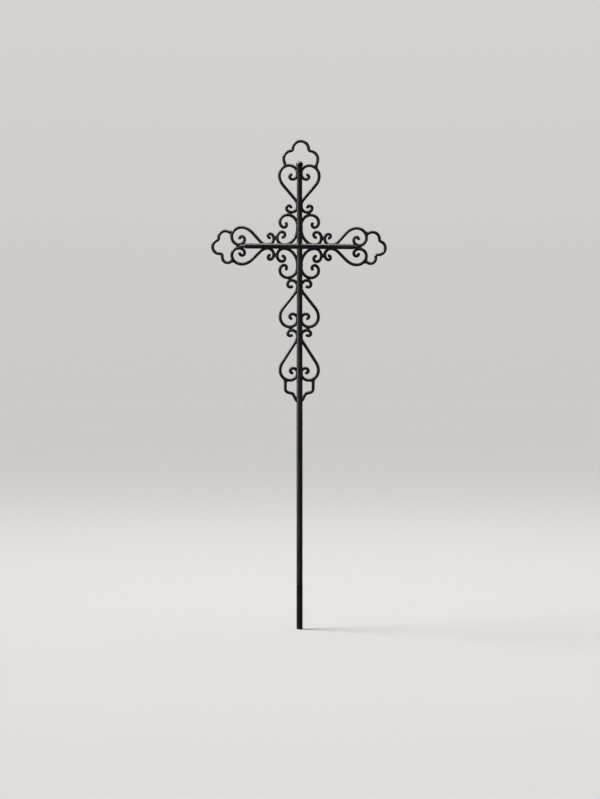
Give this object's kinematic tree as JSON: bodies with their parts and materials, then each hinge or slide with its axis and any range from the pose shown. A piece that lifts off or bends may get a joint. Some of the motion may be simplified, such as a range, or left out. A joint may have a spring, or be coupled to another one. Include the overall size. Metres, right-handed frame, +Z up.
{
  "type": "cross garden stake",
  "caption": "Thin black metal garden stake with a filigree cross of wire scrolls at its head, cut flat at ground level.",
  "frame": {"origin": "middle of the rod's flat end, at ground level", "axes": "+Z up along the rod, +X along the crossbar to the viewer's right, -Y out of the front of the cross"},
  "size_m": [0.1942, 0.0109, 0.5392],
  "materials": {
    "black_powder_coat": "semi-gloss black powder coat over steel, slightly weathered"
  },
  "bodies": {
    "root": {"stake_rod": "black_powder_coat", "crossbar_left": "black_powder_coat", "crossbar_right": "black_powder_coat", "top_heart_left": "black_powder_coat", "top_heart_right": "black_powder_coat", "left_heart_upper": "black_powder_coat", "left_heart_lower": "black_powder_coat", "right_heart_upper": "black_powder_coat", "right_heart_lower": "black_powder_coat", "lower_heart_left": "black_powder_coat", "lower_heart_right": "black_powder_coat", "base_heart_left": "black_powder_coat", "base_heart_right": "black_powder_coat", "centre_scroll_upper_left": "black_powder_coat", "centre_scroll_upper_right": "black_powder_coat", "centre_scroll_lower_left": "black_powder_coat", "centre_scroll_lower_right": "black_powder_coat", "top_trefoil": "black_powder_coat", "left_trefoil": "black_powder_coat", "right_trefoil": "black_powder_coat", "base_cup": "black_powder_coat"}
  },
  "joints": []
}
